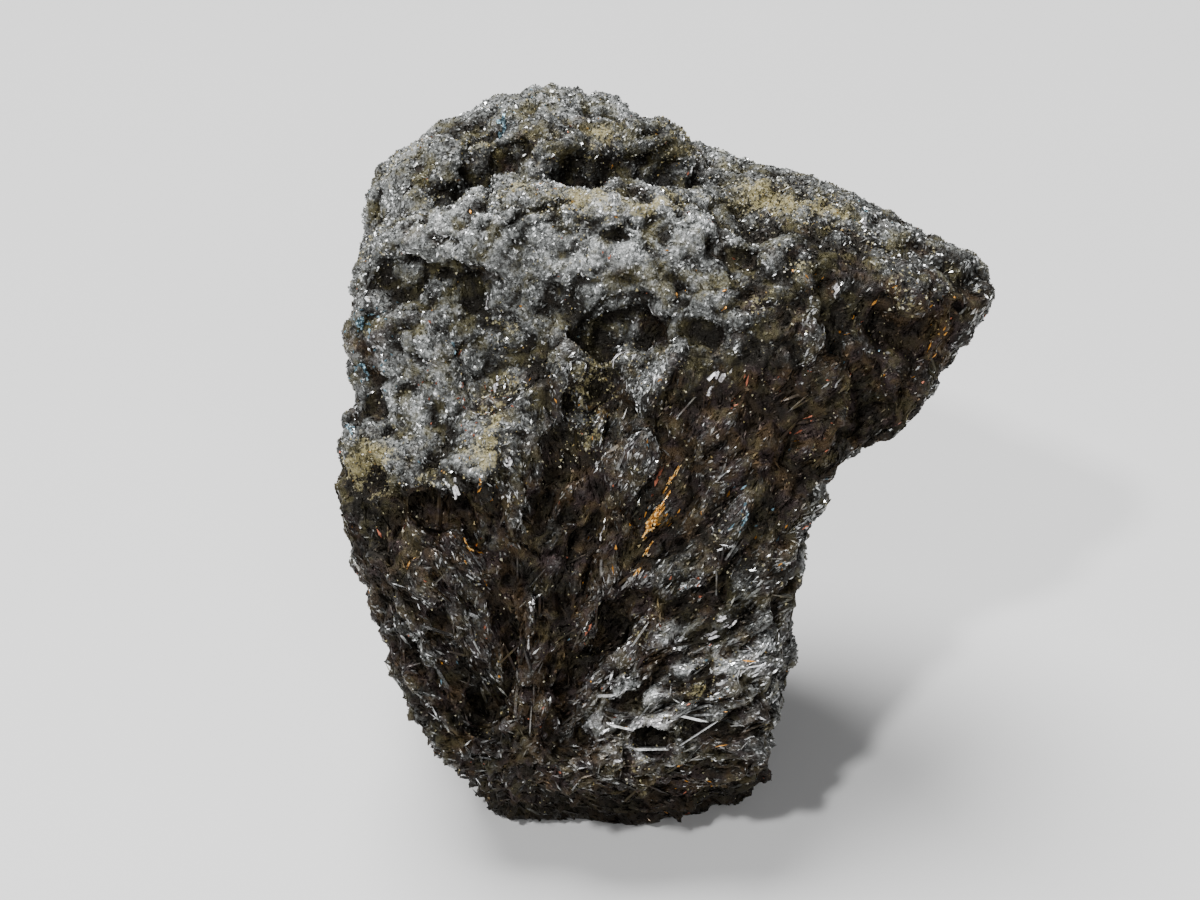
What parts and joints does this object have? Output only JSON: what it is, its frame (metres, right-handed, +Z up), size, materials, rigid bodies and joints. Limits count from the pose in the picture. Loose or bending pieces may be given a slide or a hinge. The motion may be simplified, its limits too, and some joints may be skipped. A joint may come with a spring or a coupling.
{
  "type": "stibnite cluster",
  "caption": "Broken lump of dark grey metallic crystal needles spraying up from one root, with a beak at the upper right; stands on a small flat spot.",
  "frame": {"origin": "under the middle of the lump's box, on the surface that it rests on", "axes": "+Z up, +X towards the beak, -Y towards the broken front with the long needles"},
  "size_m": [0.0554, 0.046, 0.0559],
  "materials": {
    "stibnite": "dark steel-grey metallic fibres with brown and gold tarnish"
  },
  "bodies": {
    "root": {"stibnite_cluster": "stibnite"}
  },
  "joints": []
}
